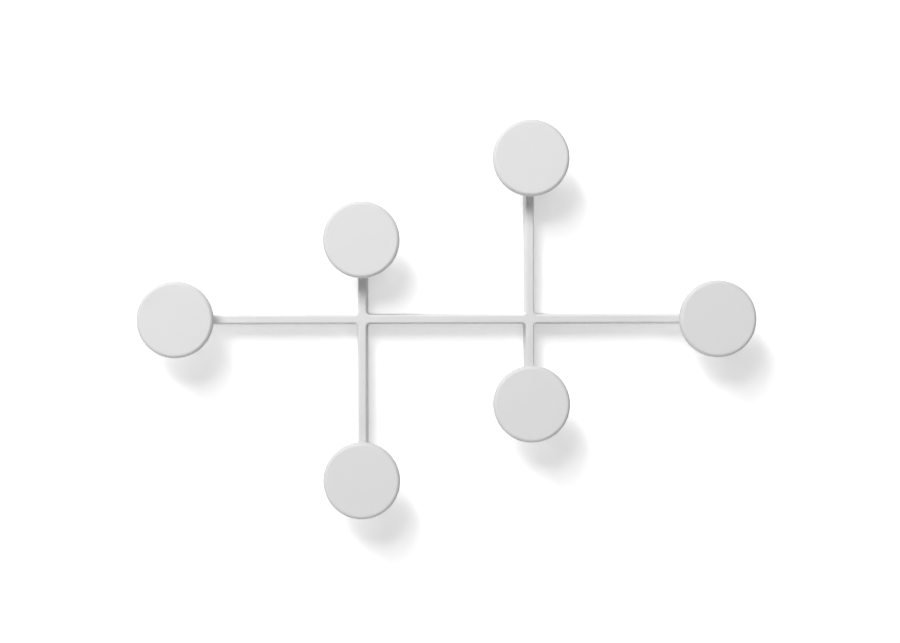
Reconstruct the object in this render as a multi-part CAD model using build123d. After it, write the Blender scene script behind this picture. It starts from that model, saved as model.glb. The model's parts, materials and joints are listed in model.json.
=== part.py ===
from build123d import *
from math import atan2, degrees
import os

# A coat rack that is screwed to a wall: a frame of tapered steel bar stood on edge, with a round
# post at each bar end and a disc screwed on the front of each post. Sizes are in millimetres.
# Everything is drawn as seen from the front, x to the right, y up and z out from the wall.
# place() then stands it up: X to the right, Z up, the wall in the plane Y = 0, the front at -Y.

# Layout of the knobs, from the middle of the rail
outer_reach = 265.0
column_reach = 83.0
long_arm = 157.5
upper_short_arm = 78.0
lower_short_arm = 83.0
overall_depth = 55.0

# Bar, which is narrower at its front than at its back
bar_back_width = 10.3
bar_front_width = 8.0
bar_depth = 25.0
bar_front_radius = 1.6
bar_back_chamfer = 0.3
bar_wall_gap = 1.0
corner_weld_radius = 2.6

# Posts, each with a countersunk hole for a wall screw in its floor
post_diameter = 18.0
post_edge_chamfer = 0.6
post_floor = 6.0
screw_hole_diameter = 5.4
screw_head_diameter = 10.0
screw_head_clearance = 0.5

# Thread that holds each disc, drawn as a plain stud in a plain bore
thread_diameter = 12.0
thread_pitch = 1.75
thread_turns = 7
thread_clearance = 0.07
thread_run_out = 1.5
stud_end_chamfer = 1.0
stud_seat_depth = 6.0

# Disc and the washer behind it
disc_diameter = 75.0
disc_thickness = 10.0
disc_front_radius = 3.5
disc_back_radius = 2.0
washer_diameter = 16.0
washer_thickness = 1.0
washer_clearance = 0.35

post_length = overall_depth - disc_thickness - washer_thickness
thread_length = thread_turns * thread_pitch
stud_diameter = thread_diameter - 2 * thread_clearance
lap_depth = bar_depth / 2
bar_taper = degrees(atan2((bar_back_width - bar_front_width) / 2, bar_depth))

stations = {
    "left": (-outer_reach, 0.0),
    "upper_left": (-column_reach, upper_short_arm),
    "lower_left": (-column_reach, -long_arm),
    "upper_right": (column_reach, long_arm),
    "lower_right": (column_reach, -lower_short_arm),
    "right": (outer_reach, 0.0),
}

ON_FLOOR = (Align.CENTER, Align.CENTER, Align.MIN)
CUT_MARGIN = 1.0
SAME_PLACE = 1e-4


def place(shape):
    """Stand a shape that was drawn from the front against the wall."""
    return Plane.XZ * shape


def rod(diameter, length, start=0.0):
    """A round solid on the drawing's z axis."""
    return Pos(0, 0, start) * Cylinder(diameter / 2, length, align=ON_FLOOR)


def bar_outline(start, end):
    """The back of a bar that runs along x or y from one point to another."""
    (x0, y0), (x1, y1) = start, end
    length_x = abs(x1 - x0) or bar_back_width
    length_y = abs(y1 - y0) or bar_back_width
    return Pos((x0 + x1) / 2, (y0 + y1) / 2) * Rectangle(length_x, length_y)


def is_inner_corner(vertex):
    """True at the corners where an upright's side meets the rail's."""
    off_x = abs(abs(abs(vertex.X) - column_reach) - bar_back_width / 2)
    off_y = abs(abs(vertex.Y) - bar_back_width / 2)
    return off_x < SAME_PLACE and off_y < SAME_PLACE


def make_frame_blank():
    """All three bars as one welded and ground shape, coped where the posts go."""
    outline = bar_outline(stations["left"], stations["right"])
    outline += bar_outline(stations["lower_left"], stations["upper_left"])
    outline += bar_outline(stations["lower_right"], stations["upper_right"])
    outline = fillet(outline.vertices().filter_by(is_inner_corner), corner_weld_radius)
    blank = Pos(0, 0, bar_wall_gap) * extrude(outline, bar_depth, taper=bar_taper)
    blank = chamfer(blank.faces().sort_by(Axis.Z)[0].edges(), bar_back_chamfer)
    blank = fillet(blank.faces().sort_by(Axis.Z)[-1].edges(), bar_front_radius)
    for x, y in stations.values():
        blank -= Pos(x, y) * rod(post_diameter, overall_depth)
    return blank


def make_rail(blank):
    """The straight bar between the outer posts, with the front half of both halved crossings."""
    outline = bar_outline(stations["left"], stations["right"])
    rail = Pos(0, 0, bar_wall_gap) * extrude(outline, bar_depth, taper=bar_taper)
    lap = Box(bar_back_width, bar_back_width, bar_wall_gap + lap_depth, align=ON_FLOOR)
    for column in (-column_reach, column_reach):
        rail -= Pos(column, 0) * lap
    return blank & rail


def make_post():
    """A turned post: thread at the front, a way through for the wall screw, a countersunk floor."""
    post = rod(post_diameter, post_length)
    post = chamfer(post.edges().filter_by(GeomType.CIRCLE), post_edge_chamfer)
    head_bore = screw_head_diameter + screw_head_clearance
    thread_start = post_length - thread_length - thread_run_out
    sink_depth = (screw_head_diameter - screw_hole_diameter) / 2
    post -= rod(thread_diameter, post_length, thread_start)
    post -= rod(head_bore, post_length, post_floor)
    post -= Pos(0, 0, post_floor - sink_depth) * Cone(
        screw_hole_diameter / 2, screw_head_diameter / 2, sink_depth, align=ON_FLOOR
    )
    return post - rod(screw_hole_diameter, post_length, -CUT_MARGIN)


def make_washer():
    """A flat washer on the front of the post."""
    ring = rod(washer_diameter, washer_thickness, post_length)
    return ring - rod(stud_diameter + 2 * washer_clearance, overall_depth)


def make_stud():
    """The stud, from its end in the post's thread to its seat in the disc."""
    length = thread_length + washer_thickness + stud_seat_depth
    stud = rod(stud_diameter, length, post_length - thread_length)
    return chamfer(stud.edges().filter_by(GeomType.CIRCLE), stud_end_chamfer)


def make_disc():
    """The flat round knob, with a blind seat for the stud in its back."""
    back = post_length + washer_thickness
    disc = rod(disc_diameter, disc_thickness, back)
    rims = disc.edges().filter_by(GeomType.CIRCLE).sort_by(Axis.Z)
    disc = fillet(rims[-1], disc_front_radius)
    rims = disc.edges().filter_by(GeomType.CIRCLE).sort_by(Axis.Z)
    disc = fillet(rims[0], disc_back_radius)
    return disc - rod(stud_diameter, stud_seat_depth + CUT_MARGIN, back - CUT_MARGIN)


frame_blank = make_frame_blank()
rail = make_rail(frame_blank)
left_upright, right_upright = (frame_blank - rail).solids().sort_by(Axis.X)
pieces = {"rail": rail, "left_upright": left_upright, "right_upright": right_upright}

knob_pieces = {
    "post": make_post(),
    "washer": make_washer(),
    "stud": make_stud(),
    "disc": make_disc(),
}
for station, (x, y) in stations.items():
    for kind, shape in knob_pieces.items():
        pieces[f"{station}_{kind}"] = Pos(x, y) * shape

os.makedirs("parts", exist_ok=True)
for name, shape in pieces.items():
    export_step(place(shape), f"parts/{name}.step")
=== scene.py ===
import json
import math

import bmesh
import bpy
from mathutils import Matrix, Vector


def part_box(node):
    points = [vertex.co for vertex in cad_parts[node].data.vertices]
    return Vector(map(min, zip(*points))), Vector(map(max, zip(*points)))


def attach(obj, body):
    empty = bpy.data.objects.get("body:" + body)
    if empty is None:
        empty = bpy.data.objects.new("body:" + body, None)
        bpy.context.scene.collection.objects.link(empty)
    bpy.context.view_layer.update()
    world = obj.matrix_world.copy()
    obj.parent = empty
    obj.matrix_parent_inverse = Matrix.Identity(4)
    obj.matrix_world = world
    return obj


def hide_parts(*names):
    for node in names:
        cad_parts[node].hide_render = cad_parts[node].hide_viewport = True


# The wall coat rack, hung on a white wall and seen square on. Metres; the wall is the plane
# Y = 0, the discs face -Y, +X is right and +Z is up.

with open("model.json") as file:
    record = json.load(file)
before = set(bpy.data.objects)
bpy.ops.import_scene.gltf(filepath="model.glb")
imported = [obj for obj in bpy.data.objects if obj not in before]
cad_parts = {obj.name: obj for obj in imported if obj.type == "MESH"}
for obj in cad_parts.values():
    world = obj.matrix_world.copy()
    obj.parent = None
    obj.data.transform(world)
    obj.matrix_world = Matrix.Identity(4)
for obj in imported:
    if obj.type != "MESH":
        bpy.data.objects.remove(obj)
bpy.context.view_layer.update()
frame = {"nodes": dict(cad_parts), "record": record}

MM = 0.001

# The six knobs, and the bars with the knobs at their ends and the way from each knob into the bar
STATIONS = ("left", "upper_left", "lower_left", "upper_right", "lower_right", "right")
BAR_ENDS = {
    "rail": {"left": Vector((1, 0, 0)), "right": Vector((-1, 0, 0))},
    "left_upright": {"upper_left": Vector((0, 0, -1)), "lower_left": Vector((0, 0, 1))},
    "right_upright": {"upper_right": Vector((0, 0, -1)), "lower_right": Vector((0, 0, 1))},
}

# The photograph: its size, the distance between the outer discs in it, the point where the
# middle of the rack lies and the point straight in front of the lens
PHOTO_SIZE_PX = (900, 643)
OUTER_DISCS_PX = 543.2
RACK_CENTRE_PX = (446.4, 319.35)
LENS_AXIS_PX = (425.0, 301.0)

# Camera, and the round front edge of the discs, behind which their outline lies
CAMERA_DISTANCE = 1.8
CAMERA_ROLL_DEG = 0.12
SENSOR_WIDTH_MM = 36.0
DISC_RIM_RADIUS = 3.5 * MM

# Lamps: how far each stands out from the wall, how far left and up for each metre of that, its
# width and height and its power. The back lamp stands behind the wall.
LAMPS = {
    "key_softbox": dict(out=2.4, left=0.296, up=0.582, width=1.01, height=0.67, watts=27.4),
    "upper_softbox": dict(out=2.4, left=0.69, up=1.115, width=2.02, height=0.96, watts=100.7),
    "fill": dict(out=2.4, left=-0.204, up=0.46, width=0.82, height=1.58, watts=7.5),
    "back_lamp": dict(out=-2.0, left=0.3, up=-0.45, width=1.6, height=1.6, watts=40.0),
}

# The room: its even light on the rack, and how bright it looks, where 1 is white
ROOM_LIGHT = 0.03
ROOM_SEEN = 1.0

# White wall and floor
WALL_HALF_WIDTH = 4.0
WALL_TOP = 2.4
FLOOR_DROP = 1.6
FLOOR_DEPTH = 5.0
COVE_RADIUS = 0.4
COVE_STEPS = 16
WALL_SETBACK = 0.2 * MM

# Wall paint: the white that lights the rack, the white and the glow that the lens sees, and how
# close in front of the wall a ray starts that goes through it
WALL_WHITE = 0.85
WALL_SEEN_WHITE = 1.03
WALL_SEEN_GLOW = 0.375
WALL_CLEAR_WITHIN = 1.6 * MM

# Powder coat: its white, how much of it is left on handled patches and edges, and how far painted
# shade darkens it on the disc rims
COAT_WHITE = 0.76
HANDLED_TONE = 0.985
EDGE_TONE = 0.96
DISC_RIM_PAINTED_SHADE = 0.915
EDGE_WIDTH = 0.9 * MM
COAT_SPECULAR = 0.4
COAT_RELIEF = 0.03 * MM
BAR_PEEL_SCALE = 950.0
DISC_PEEL_SCALE = 800.0

# How squarely a surface faces the front, as a cosine, where the painted shade on a disc rim begins
# and where it is full
RIM_SHADE_BEGINS = 0.995
RIM_SHADE_FULL = 0.88

# Zinc plating and nylon
ZINC_COOL = (0.62, 0.64, 0.67, 1.0)
ZINC_STRAW = (0.66, 0.63, 0.56, 1.0)
ZINC_RELIEF = 0.01 * MM
NYLON_MILKY = (0.74, 0.73, 0.69, 1.0)
NYLON_YELLOWED = (0.69, 0.67, 0.61, 1.0)
NYLON_RELIEF = 0.02 * MM

# Metric thread of the studs
THREAD_CREST_SHARE = 0.125
THREAD_ROOT_SHARE = 0.25
THREAD_DEPTH_PER_PITCH = 0.5413
THREAD_SECTORS = 64
THREAD_ROWS_PER_PITCH = 10
STUD_END_CHAMFER = 1.0 * MM

# Weld bead between a bar's end and its post
BEAD_RADIUS = 1.4 * MM
BEAD_SIDES = 10
BAR_BACK_WIDTH = 10.3 * MM
BAR_FRONT_WIDTH = 8.0 * MM
BAR_EDGE_RADIUS = 1.6 * MM
BAR_EDGE_STEPS = 4
BAR_SIDE_STEPS = 10
BAR_FLAT_STEPS = 3


# Shader helpers

def grey(tone):
    """A grey or white as a colour."""
    return (tone, tone, tone, 1.0)


def new_node(tree, kind, **values):
    """Add a node; values with the name of an input set that input, others set the node itself."""
    node = tree.nodes.new(kind)
    for key, value in values.items():
        name = key.replace("_", " ").title()
        if name in node.inputs:
            node.inputs[name].default_value = value
        else:
            setattr(node, key, value)
    return node


def join(tree, start, end):
    """Link an output to an input."""
    tree.links.new(start, end)


def new_group(name, inputs, outputs):
    """An empty shader node group with these sockets, as (tree, group input, group output)."""
    tree = bpy.data.node_groups.new(name, "ShaderNodeTree")
    for socket, kind in inputs.items():
        tree.interface.new_socket(socket, in_out="INPUT", socket_type=f"NodeSocket{kind}")
    for socket, kind in outputs.items():
        tree.interface.new_socket(socket, in_out="OUTPUT", socket_type=f"NodeSocket{kind}")
    return tree, tree.nodes.new("NodeGroupInput"), tree.nodes.new("NodeGroupOutput")


def use_group(tree, group, **values):
    """Place a group in a material, set its inputs and lay it on the piece by the piece's axes."""
    node = new_node(tree, "ShaderNodeGroup", node_tree=group, **values)
    if "Vector" in node.inputs:
        place = new_node(tree, "ShaderNodeTexCoord").outputs["Object"]
        join(tree, place, node.inputs["Vector"])
    return node


def new_material(name):
    """A material with a plain Principled surface, as (material, tree, shader)."""
    material = bpy.data.materials.new(name)
    material.use_nodes = True
    return material, material.node_tree, material.node_tree.nodes["Principled BSDF"]


def empty_tree(owner, output_kind):
    """The cleared node tree of a material or a world, as (tree, output node)."""
    owner.use_nodes = True
    tree = owner.node_tree
    tree.nodes.clear()
    return tree, new_node(tree, output_kind)


def mixed_colour(tree, mask, plain, marked):
    """A colour that goes from plain, a colour or an output, to marked with the mask."""
    mix = new_node(tree, "ShaderNodeMix", data_type="RGBA")
    plain_input, marked_input = [socket for socket in mix.inputs if socket.type == "RGBA"]
    if isinstance(plain, bpy.types.NodeSocket):
        join(tree, plain, plain_input)
    else:
        plain_input.default_value = plain
    marked_input.default_value = marked
    join(tree, mask, mix.inputs["Factor"])
    return next(socket for socket in mix.outputs if socket.type == "RGBA")


def mixed_value(tree, mask, plain, marked):
    """A value that goes from plain to marked with the mask."""
    spread = new_node(tree, "ShaderNodeMapRange", to_min=plain, to_max=marked)
    join(tree, mask, spread.inputs["Value"])
    return spread.outputs["Result"]


def mixed_shader(tree, mask, plain, marked):
    """A shader that goes from plain to marked with the mask."""
    mix = new_node(tree, "ShaderNodeMixShader")
    join(tree, mask, mix.inputs["Fac"])
    join(tree, plain.outputs[0], mix.inputs[1])
    join(tree, marked.outputs[0], mix.inputs[2])
    return mix


def either(tree, first, second):
    """The larger of two masks."""
    larger = new_node(tree, "ShaderNodeMath", operation="MAXIMUM")
    join(tree, first, larger.inputs[0])
    join(tree, second, larger.inputs[1])
    return larger.outputs[0]


def tinted(tree, colour, mask, plain, marked):
    """A colour times a tone that goes from plain to marked with the mask."""
    scale = new_node(tree, "ShaderNodeVectorMath", operation="SCALE")
    join(tree, colour, scale.inputs[0])
    join(tree, mixed_value(tree, mask, plain, marked), scale.inputs["Scale"])
    return scale.outputs["Vector"]


# Effects that several finishes share

def make_grain_group():
    """Orange peel with a finer grain on it: a height and a tone, both about 0.5."""
    tree, start, end = new_group(
        "fine_grain",
        {"Vector": "Vector", "Peel Scale": "Float", "Grain Scale": "Float", "Grain Share": "Float"},
        {"Height": "Float", "Tone": "Float"},
    )
    peel = new_node(tree, "ShaderNodeTexNoise", detail=2.0, roughness=0.45)
    grain = new_node(tree, "ShaderNodeTexNoise", detail=1.0, roughness=0.5)
    mix = new_node(tree, "ShaderNodeMix", data_type="FLOAT")
    join(tree, start.outputs["Vector"], peel.inputs["Vector"])
    join(tree, start.outputs["Vector"], grain.inputs["Vector"])
    join(tree, start.outputs["Peel Scale"], peel.inputs["Scale"])
    join(tree, start.outputs["Grain Scale"], grain.inputs["Scale"])
    join(tree, start.outputs["Grain Share"], mix.inputs["Factor"])
    join(tree, peel.outputs["Fac"], mix.inputs["A"])
    join(tree, grain.outputs["Fac"], mix.inputs["B"])
    join(tree, mix.outputs["Result"], end.inputs["Height"])
    join(tree, grain.outputs["Fac"], end.inputs["Tone"])
    return tree


def make_handling_group():
    """Broad, faint patches where hands and cloth have been: a mask from 0 to 1."""
    tree, start, end = new_group(
        "handling_patches",
        {"Vector": "Vector", "Patch Scale": "Float", "Low": "Float", "High": "Float"},
        {"Mask": "Float"},
    )
    patches = new_node(tree, "ShaderNodeTexNoise", detail=4.0, roughness=0.6, distortion=0.4)
    spread = new_node(tree, "ShaderNodeMapRange", interpolation_type="SMOOTHSTEP")
    join(tree, start.outputs["Vector"], patches.inputs["Vector"])
    join(tree, start.outputs["Patch Scale"], patches.inputs["Scale"])
    join(tree, patches.outputs["Fac"], spread.inputs["Value"])
    join(tree, start.outputs["Low"], spread.inputs["From Min"])
    join(tree, start.outputs["High"], spread.inputs["From Max"])
    join(tree, spread.outputs["Result"], end.inputs["Mask"])
    return tree


def make_edge_group():
    """Where the surface turns over an edge: 0 on flats, 1 on the edge."""
    tree, start, end = new_group(
        "edge_turn", {"Radius": "Float", "Gain": "Float"}, {"Mask": "Float"}
    )
    plain = new_node(tree, "ShaderNodeNewGeometry")
    rounded = new_node(tree, "ShaderNodeBevel", samples=4)
    agree = new_node(tree, "ShaderNodeVectorMath", operation="DOT_PRODUCT")
    differ = new_node(tree, "ShaderNodeMath", operation="SUBTRACT")
    differ.inputs[0].default_value = 1.0
    gain = new_node(tree, "ShaderNodeMath", operation="MULTIPLY", use_clamp=True)
    join(tree, start.outputs["Radius"], rounded.inputs["Radius"])
    join(tree, plain.outputs["Normal"], agree.inputs[0])
    join(tree, rounded.outputs["Normal"], agree.inputs[1])
    join(tree, agree.outputs["Value"], differ.inputs[1])
    join(tree, differ.outputs["Value"], gain.inputs[0])
    join(tree, start.outputs["Gain"], gain.inputs[1])
    join(tree, gain.outputs["Value"], end.inputs["Mask"])
    return tree


GRAIN = make_grain_group()
HANDLING = make_handling_group()
EDGE = make_edge_group()


# Finishes

def finish_shader(tree, shader, colour, grain, patches, tones, roughness, relief):
    """Give a shader its colour in grained tones, its roughness by patches and its relief."""
    toned = tinted(tree, colour, grain.outputs["Tone"], *tones)
    rough = mixed_value(tree, patches.outputs["Mask"], *roughness)
    bump = new_node(tree, "ShaderNodeBump", strength=1.0, distance=relief)
    join(tree, grain.outputs["Height"], bump.inputs["Height"])
    join(tree, toned, shader.inputs["Base Color"])
    join(tree, rough, shader.inputs["Roughness"])
    join(tree, bump.outputs["Normal"], shader.inputs["Normal"])


def rim_painted_shade_mask(tree):
    """Mask of the painted rim shade: 0 where a piece looks straight to the front or back, 1 where
    its surface turns away.
    """
    own_normal = new_node(tree, "ShaderNodeTexCoord").outputs["Normal"]
    facing = new_node(tree, "ShaderNodeSeparateXYZ")
    flat = new_node(tree, "ShaderNodeMath", operation="ABSOLUTE")
    turned = new_node(tree, "ShaderNodeMapRange", from_min=RIM_SHADE_BEGINS, from_max=RIM_SHADE_FULL)
    join(tree, own_normal, facing.inputs[0])
    join(tree, facing.outputs["Y"], flat.inputs[0])
    join(tree, flat.outputs[0], turned.inputs["Value"])
    return turned.outputs["Result"]


def make_powder_coat(name, peel_scale, rim_painted_shade=None):
    """Matte white powder coat: orange peel, faint handled patches, darker edges and painted shade
    on rims.
    """
    material, tree, shader = new_material(name)
    grain = use_group(tree, GRAIN, peel_scale=peel_scale, grain_scale=5200.0, grain_share=0.3)
    patches = use_group(tree, HANDLING, patch_scale=14.0, low=0.48, high=0.72)
    edge = use_group(tree, EDGE, radius=EDGE_WIDTH, gain=2.5)
    handled = grey(HANDLED_TONE * COAT_WHITE)
    colour = mixed_colour(tree, patches.outputs["Mask"], grey(COAT_WHITE), handled)
    colour = mixed_colour(tree, edge.outputs["Mask"], colour, grey(EDGE_TONE * COAT_WHITE))
    if rim_painted_shade:
        # Painted shade: the coat is darkened where the disc's rim turns away from the front
        colour = tinted(tree, colour, rim_painted_shade_mask(tree), 1.0, rim_painted_shade)
    finish_shader(
        tree, shader, colour, grain, patches,
        tones=(0.985, 1.015), roughness=(0.56, 0.46), relief=COAT_RELIEF,
    )
    shader.inputs["Specular IOR Level"].default_value = COAT_SPECULAR
    return material


def make_zinc():
    """Bright zinc plating on the studs, with a faint cool and straw tint."""
    material, tree, shader = new_material("zinc_plate")
    grain = use_group(tree, GRAIN, peel_scale=1500.0, grain_scale=7000.0, grain_share=0.5)
    patches = use_group(tree, HANDLING, patch_scale=160.0, low=0.4, high=0.65)
    colour = mixed_colour(tree, patches.outputs["Mask"], ZINC_COOL, ZINC_STRAW)
    finish_shader(
        tree, shader, colour, grain, patches,
        tones=(0.92, 1.06), roughness=(0.28, 0.42), relief=ZINC_RELIEF,
    )
    shader.inputs["Metallic"].default_value = 1.0
    return material


def make_nylon():
    """Natural nylon of the washers: milky, slightly waxy."""
    material, tree, shader = new_material("natural_nylon")
    grain = use_group(tree, GRAIN, peel_scale=900.0, grain_scale=4000.0, grain_share=0.4)
    patches = use_group(tree, HANDLING, patch_scale=120.0, low=0.42, high=0.7)
    colour = mixed_colour(tree, patches.outputs["Mask"], NYLON_MILKY, NYLON_YELLOWED)
    finish_shader(
        tree, shader, colour, grain, patches,
        tones=(0.97, 1.02), roughness=(0.42, 0.55), relief=NYLON_RELIEF,
    )
    return material


# Mesh helpers

def new_piece(name, mesh, material, body):
    """A finished piece of the rack that moves with a body."""
    piece = bpy.data.objects.new(name, mesh)
    bpy.context.scene.collection.objects.link(piece)
    piece.data.materials.append(material)
    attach(piece, body)
    return piece


def closed_mesh(name, rings, closed_loop):
    """A skin over rings of points; a loop of rings joins up, an open row gets flat ends."""
    shape = bmesh.new()
    rows = [[shape.verts.new(point) for point in ring] for ring in rings]
    count = len(rows[0])
    pairs = list(zip(rows, rows[1:]))
    if closed_loop:
        pairs.append((rows[-1], rows[0]))
    for a, b in pairs:
        for i in range(count):
            j = (i + 1) % count
            face = shape.faces.new((a[i], a[j], b[j], b[i]))
            face.smooth = True
    if not closed_loop:
        shape.faces.new(rows[0][::-1])
        shape.faces.new(rows[-1])
    bmesh.ops.recalc_face_normals(shape, faces=shape.faces)
    mesh = bpy.data.meshes.new(name)
    shape.to_mesh(mesh)
    shape.free()
    return mesh


# Pieces that the scene adds

def thread_profile(turn):
    """The thread's height at a share of one turn, from 0 at the root to 1 at the crest."""
    flank = (1 - THREAD_CREST_SHARE - THREAD_ROOT_SHARE) / 2
    turn %= 1.0
    if turn < THREAD_ROOT_SHARE:
        return 0.0
    if turn < THREAD_ROOT_SHARE + flank:
        return (turn - THREAD_ROOT_SHARE) / flank
    if turn < THREAD_ROOT_SHARE + flank + THREAD_CREST_SHARE:
        return 1.0
    return (1.0 - turn) / flank


def make_threaded_stud(station, pitch, material):
    """The stud as a real right-hand thread, in the place of the plain one."""
    node = f"{station}_stud"
    low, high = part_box(node)
    axis_x, axis_z = (low.x + high.x) / 2, (low.z + high.z) / 2
    radius = (high.x - low.x) / 2
    depth = THREAD_DEPTH_PER_PITCH * pitch
    length = high.y - low.y
    rows = round(length / pitch * THREAD_ROWS_PER_PITCH)
    rings = []
    for row in range(rows + 1):
        along = length * row / rows
        y = high.y - along
        to_end = min(along, length - along)
        limit = radius - max(0.0, STUD_END_CHAMFER - to_end)
        ring = []
        for sector in range(THREAD_SECTORS):
            angle = 2 * math.pi * sector / THREAD_SECTORS
            rise = thread_profile(along / pitch - sector / THREAD_SECTORS)
            r = min(limit, radius - depth * (1 - rise))
            ring.append((axis_x + r * math.cos(angle), y, axis_z + r * math.sin(angle)))
        rings.append(ring)
    mesh = closed_mesh(f"{node}_threaded", rings, closed_loop=False)
    stud = new_piece(f"{node}_threaded", mesh, material, f"{station}_knob")
    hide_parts(node)


def bar_section(back, front):
    """A bar's tapered section with round front edges, as (across, depth) points in order."""
    back_half, front_half = BAR_BACK_WIDTH / 2, BAR_FRONT_WIDTH / 2
    flat = front_half - BAR_EDGE_RADIUS
    side = front + BAR_EDGE_RADIUS
    half = [(flat * step / BAR_FLAT_STEPS, front) for step in range(BAR_FLAT_STEPS)]
    for step in range(BAR_EDGE_STEPS):
        angle = math.pi / 2 * step / BAR_EDGE_STEPS
        across = flat + BAR_EDGE_RADIUS * math.sin(angle)
        half.append((across, side - BAR_EDGE_RADIUS * math.cos(angle)))
    for step in range(BAR_SIDE_STEPS):
        share = step / BAR_SIDE_STEPS
        across = front_half + share * (back_half - front_half)
        half.append((across, side + share * (back - side)))
    for step in range(BAR_FLAT_STEPS + 1):
        half.append((back_half * (1 - step / BAR_FLAT_STEPS), back))
    return half + [(-across, depth) for across, depth in half[-2:0:-1]]


def make_weld_bead(station, bar, along, material):
    """The painted bead where a bar meets its post; along points from the post into the bar."""
    low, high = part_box(f"{station}_post")
    bar_low, bar_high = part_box(bar)
    centre = Vector(((low.x + high.x) / 2, 0, (low.z + high.z) / 2))
    radius = (high.x - low.x) / 2
    across = Vector((0, 1, 0)).cross(along)
    inset = BEAD_RADIUS / 2
    path = []
    for side, depth in bar_section(bar_high.y - inset, bar_low.y + inset):
        reach = math.sqrt(radius**2 - side**2)
        path.append(centre + along * reach + across * side + Vector((0, depth, 0)))
    angles = [2 * math.pi * step / BEAD_SIDES for step in range(BEAD_SIDES)]
    rings = []
    for i, point in enumerate(path):
        tangent = (path[(i + 1) % len(path)] - path[i - 1]).normalized()
        normal = (along - along.dot(tangent) * tangent).normalized()
        binormal = tangent.cross(normal)
        spokes = [math.cos(angle) * normal + math.sin(angle) * binormal for angle in angles]
        rings.append([point + BEAD_RADIUS * spoke for spoke in spokes])
    mesh = closed_mesh(f"{station}_weld_bead", rings, closed_loop=True)
    new_piece(f"{station}_weld_bead", mesh, material, "frame")


# Wall, room, lamps and camera

def seen_ray(tree, path):
    """1 for rays that show the background: to the lens, by a reflection or through glass."""
    mask = path.outputs["Is Camera Ray"]
    for kind in ("Is Glossy Ray", "Is Transmission Ray"):
        mask = either(tree, mask, path.outputs[kind])
    return mask


def make_wall_paint():
    """White wall paint that keeps the shadows.

    It is see-through from behind, so that the rack's back shows, and for rays that start close
    in front of it, so that the back lamp lights the rack's back.
    """
    material = bpy.data.materials.new("wall_paint")
    tree, out = empty_tree(material, "ShaderNodeOutputMaterial")
    path = new_node(tree, "ShaderNodeLightPath")
    face = new_node(tree, "ShaderNodeNewGeometry")
    lit = new_node(tree, "ShaderNodeBsdfDiffuse", color=grey(WALL_WHITE))
    seen_white = new_node(tree, "ShaderNodeBsdfDiffuse", color=grey(WALL_SEEN_WHITE))
    seen_glow = new_node(tree, "ShaderNodeEmission", strength=WALL_SEEN_GLOW)
    seen = new_node(tree, "ShaderNodeAddShader")
    clear = new_node(tree, "ShaderNodeBsdfTransparent")
    join(tree, seen_white.outputs[0], seen.inputs[0])
    join(tree, seen_glow.outputs[0], seen.inputs[1])
    near = new_node(tree, "ShaderNodeMath", operation="LESS_THAN")
    near.inputs[1].default_value = WALL_CLEAR_WITHIN
    join(tree, path.outputs["Ray Length"], near.inputs[0])
    see_through = either(tree, face.outputs["Backfacing"], near.outputs[0])
    paint = mixed_shader(tree, seen_ray(tree, path), lit, seen)
    paint = mixed_shader(tree, see_through, paint, clear)
    join(tree, paint.outputs[0], out.inputs["Surface"])
    return material


def make_wall(material):
    """The wall, with a cove at its foot that runs out into the floor."""
    foot = -FLOOR_DROP
    profile = [(WALL_SETBACK, WALL_TOP)]
    for step in range(COVE_STEPS + 1):
        angle = math.pi / 2 * step / COVE_STEPS
        y = WALL_SETBACK - COVE_RADIUS * (1 - math.cos(angle))
        profile.append((y, foot + COVE_RADIUS * (1 - math.sin(angle))))
    profile.append((-FLOOR_DEPTH, foot))
    shape = bmesh.new()
    left = [shape.verts.new((-WALL_HALF_WIDTH, y, z)) for y, z in profile]
    right = [shape.verts.new((WALL_HALF_WIDTH, y, z)) for y, z in profile]
    for i in range(len(profile) - 1):
        face = shape.faces.new((left[i], left[i + 1], right[i + 1], right[i]))
        face.smooth = True
    mesh = bpy.data.meshes.new("wall_and_floor")
    shape.to_mesh(mesh)
    shape.free()
    wall = bpy.data.objects.new("wall_and_floor", mesh)
    wall.data.materials.append(material)
    bpy.context.scene.collection.objects.link(wall)


def make_room_light():
    """Even light from the whole room, which the camera sees as white."""
    world = bpy.data.worlds.new("room")
    tree, out = empty_tree(world, "ShaderNodeOutputWorld")
    path = new_node(tree, "ShaderNodeLightPath")
    lit = new_node(tree, "ShaderNodeBackground", color=grey(1.0), strength=ROOM_LIGHT)
    seen = new_node(tree, "ShaderNodeBackground", color=grey(1.0), strength=ROOM_SEEN)
    room = mixed_shader(tree, seen_ray(tree, path), lit, seen)
    join(tree, room.outputs[0], out.inputs["Surface"])
    bpy.context.scene.world = world


def make_lamp(name, out, left, up, width, height, watts):
    """A soft lamp that faces the middle of the rack; light from behind the wall doesn't bounce."""
    data = bpy.data.lights.new(name, "AREA")
    data.shape = "RECTANGLE"
    data.size = width
    data.size_y = height
    data.energy = watts
    if out < 0:
        data.cycles.max_bounces = 0
    lamp = bpy.data.objects.new(name, data)
    lamp.location = (-left * out, -out, up * out)
    lamp.rotation_euler = (-lamp.location).to_track_quat("-Z", "Y").to_euler()
    lamp.visible_camera = False
    bpy.context.scene.collection.objects.link(lamp)


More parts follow.
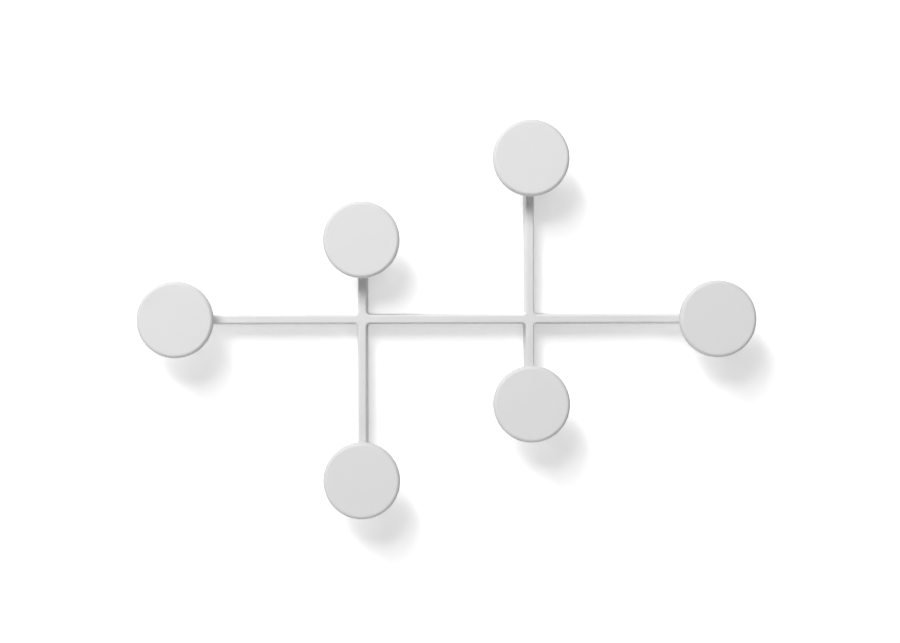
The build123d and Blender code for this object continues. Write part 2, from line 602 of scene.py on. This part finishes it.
def make_camera(outer_spacing, outline_depth):
    """The camera in front of the rack, with the lens that gives the outer discs their spacing."""
    data = bpy.data.cameras.new("camera")
    data.sensor_fit = "HORIZONTAL"
    data.sensor_width = SENSOR_WIDTH_MM
    metres_per_px = outer_spacing / OUTER_DISCS_PX
    width_px, height_px = PHOTO_SIZE_PX
    axis_x, axis_y = LENS_AXIS_PX
    centre_x, centre_y = RACK_CENTRE_PX
    data.lens = SENSOR_WIDTH_MM * (CAMERA_DISTANCE - outline_depth) / metres_per_px / width_px
    data.shift_x = (width_px / 2 - axis_x) / width_px
    data.shift_y = (axis_y - height_px / 2) / width_px
    camera = bpy.data.objects.new("camera", data)
    right = (axis_x - centre_x) * metres_per_px
    up = (centre_y - axis_y) * metres_per_px
    camera.location = (right, -CAMERA_DISTANCE, up)
    camera.rotation_euler = (math.pi / 2, math.radians(CAMERA_ROLL_DEG), 0)
    bpy.context.scene.collection.objects.link(camera)
    bpy.context.scene.camera = camera


# The rack: finishes of the CAD pieces, then the threads and the weld beads

bar_coat = make_powder_coat("white_powder_coat_bars", BAR_PEEL_SCALE)
# The disc coat carries painted shade on its rims
disc_coat = make_powder_coat("white_powder_coat_discs", DISC_PEEL_SCALE, DISC_RIM_PAINTED_SHADE)
zinc = make_zinc()
nylon = make_nylon()

knob_finishes = {"post": bar_coat, "disc": disc_coat, "washer": nylon, "stud": zinc}
finishes = {bar: bar_coat for bar in BAR_ENDS}
for station in STATIONS:
    for kind, finish in knob_finishes.items():
        finishes[f"{station}_{kind}"] = finish
for node, finish in finishes.items():
    mesh = frame["nodes"][node].data
    mesh.materials.clear()
    mesh.materials.append(finish)

couplings = frame["record"]["behaviour"]["couplings"]
thread_pitch = couplings[0]["ratio"] * 2 * math.pi
for station in STATIONS:
    make_threaded_stud(station, thread_pitch, zinc)

for bar, ends in BAR_ENDS.items():
    for station, into_bar in ends.items():
        make_weld_bead(station, bar, into_bar, bar_coat)

# The picture

make_wall(make_wall_paint())
make_room_light()
for name, values in LAMPS.items():
    make_lamp(name, **values)

left_disc_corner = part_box("left_disc")[0]
right_disc_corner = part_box("right_disc")[0]
outer_spacing = right_disc_corner.x - left_disc_corner.x
make_camera(outer_spacing, -(left_disc_corner.y + DISC_RIM_RADIUS))

bpy.context.scene.view_settings.view_transform = "Standard"
